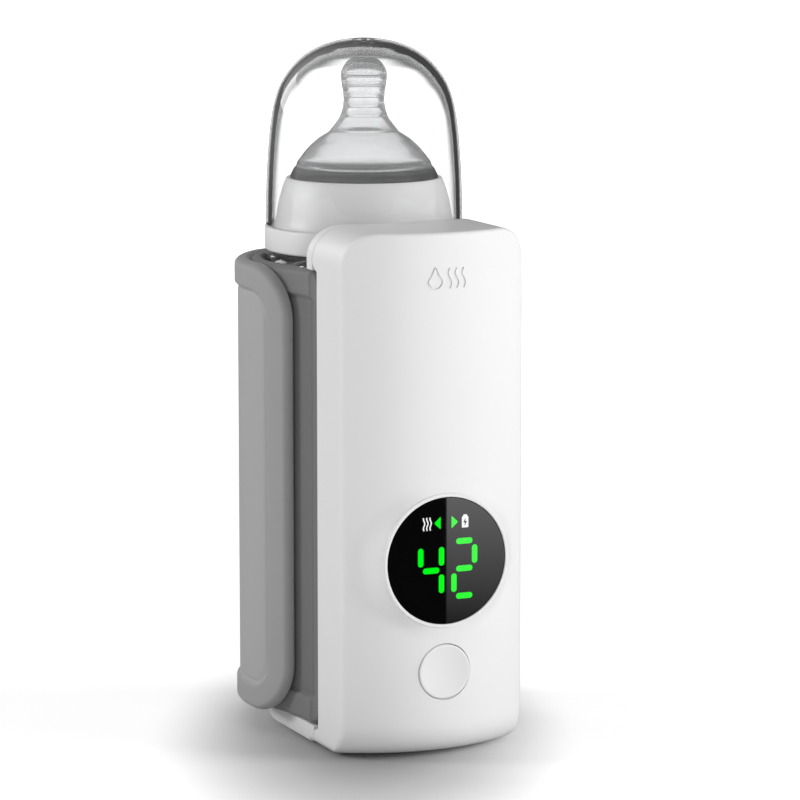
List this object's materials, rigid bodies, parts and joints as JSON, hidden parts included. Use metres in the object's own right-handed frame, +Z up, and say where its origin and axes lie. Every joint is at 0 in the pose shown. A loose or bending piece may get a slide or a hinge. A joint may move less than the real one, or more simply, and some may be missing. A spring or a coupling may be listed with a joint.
{
  "type": "bottle warmer",
  "caption": "Portable baby-bottle warmer: upright housing with round display and button, soft wrap-around heating sleeve, and a bottle with teat, screw collar and dome cap.",
  "frame": {"origin": "on the standing plane, on the bottle's vertical axis", "axes": "+Z up, -Y towards the display, +X to the right seen from the front"},
  "size_m": [0.0762, 0.1, 0.2197],
  "materials": {
    "shell_white": "satin white moulded plastic",
    "lens_black": "gloss black clear-coated window",
    "sleeve_grey": "soft matt grey silicone",
    "closure_grey": "hook and loop textile",
    "foot_rubber": "matt dark silicone",
    "clear_glass": "clear borosilicate glass",
    "clear_silicone": "clear silicone",
    "clear_plastic": "clear moulded plastic",
    "inner_plastic": "matt moulded plastic",
    "black_plastic": "matt black moulded plastic",
    "circuit_board": "green solder mask",
    "cell_wrap": "shrink film on a steel can",
    "plated_steel": "bright plated steel",
    "film_amber": "amber polyimide film",
    "lead_red": "red insulated wire",
    "lead_white": "white insulated wire"
  },
  "bodies": {
    "housing": {"front_shell": "shell_white", "back_shell": "shell_white", "screw_low_left": "plated_steel", "screw_low_right": "plated_steel", "screw_high_left": "plated_steel", "screw_high_right": "plated_steel", "foot_pad_front": "foot_rubber", "foot_pad_rear": "foot_rubber", "display_lens": "lens_black", "display_module": "inner_plastic", "display_board": "circuit_board", "push_switch": "black_plastic", "main_board": "circuit_board", "usb_c_socket": "plated_steel", "battery_cell_left": "cell_wrap", "battery_cell_right": "cell_wrap", "cell_holder": "black_plastic", "nickel_strap_top": "plated_steel", "nickel_strap_bottom": "plated_steel", "protection_board": "circuit_board", "battery_lead": "lead_red", "heater_lead": "lead_white", "heating_film": "film_amber", "contact_pad": "sleeve_grey", "temperature_sensor": "plated_steel", "sleeve_inner_end": "sleeve_grey", "sleeve_outer_panel": "sleeve_grey", "clamp_strip_left": "inner_plastic", "clamp_strip_right": "inner_plastic"},
    "power_button": {"power_button": "shell_white", "switch_plunger": "black_plastic"},
    "inner_layer": {"sleeve_inner_layer": "sleeve_grey", "loop_patch": "closure_grey"},
    "flap": {"sleeve_flap": "sleeve_grey", "hook_patch": "closure_grey"},
    "bottle": {"glass_bottle": "clear_glass"},
    "teat": {"teat": "clear_silicone"},
    "collar": {"screw_collar": "shell_white"},
    "dome_cap": {"dome_cap": "clear_plastic"}
  },
  "joints": [
    {"name": "button_press", "type": "slide", "parent": "housing", "child": "power_button", "axis": [0, 1, 0], "range_m": [0, 0.0008], "stiffness_N_per_m": 1500, "springref_m": -0.0006},
    {"name": "flap_open", "type": "hinge", "parent": "housing", "child": "flap", "pos_m": [0.00992, 0.0346, 0.078], "axis": [0, 0, -1], "range_deg": [0, 100]},
    {"name": "inner_layer_open", "type": "hinge", "parent": "housing", "child": "inner_layer", "pos_m": [-0.0309, -0.0257, 0.078], "axis": [0, 0, 1], "range_deg": [0, 30]},
    {"name": "bottle_lift", "type": "slide", "parent": "housing", "child": "bottle", "axis": [0, 0, 1], "range_m": [0, 0.162]},
    {"name": "collar_lift", "type": "slide", "parent": "bottle", "child": "teat", "axis": [0, 0, 1], "range_m": [0, 0.009]},
    {"name": "collar_turn", "type": "hinge", "parent": "teat", "child": "collar", "pos_m": [0, 0, 0.16], "axis": [0, 0, 1], "range_deg": [0, 720]},
    {"name": "dome_cap_lift", "type": "slide", "parent": "collar", "child": "dome_cap", "axis": [0, 0, 1], "range_m": [0, 0.065]}
  ],
  "couplings": [
    {"joint": "inner_layer_open", "follows": "flap_open", "ratio": 0.3},
    {"joint": "collar_turn", "follows": "collar_lift", "rad_per_m": 1396.3}
  ]
}
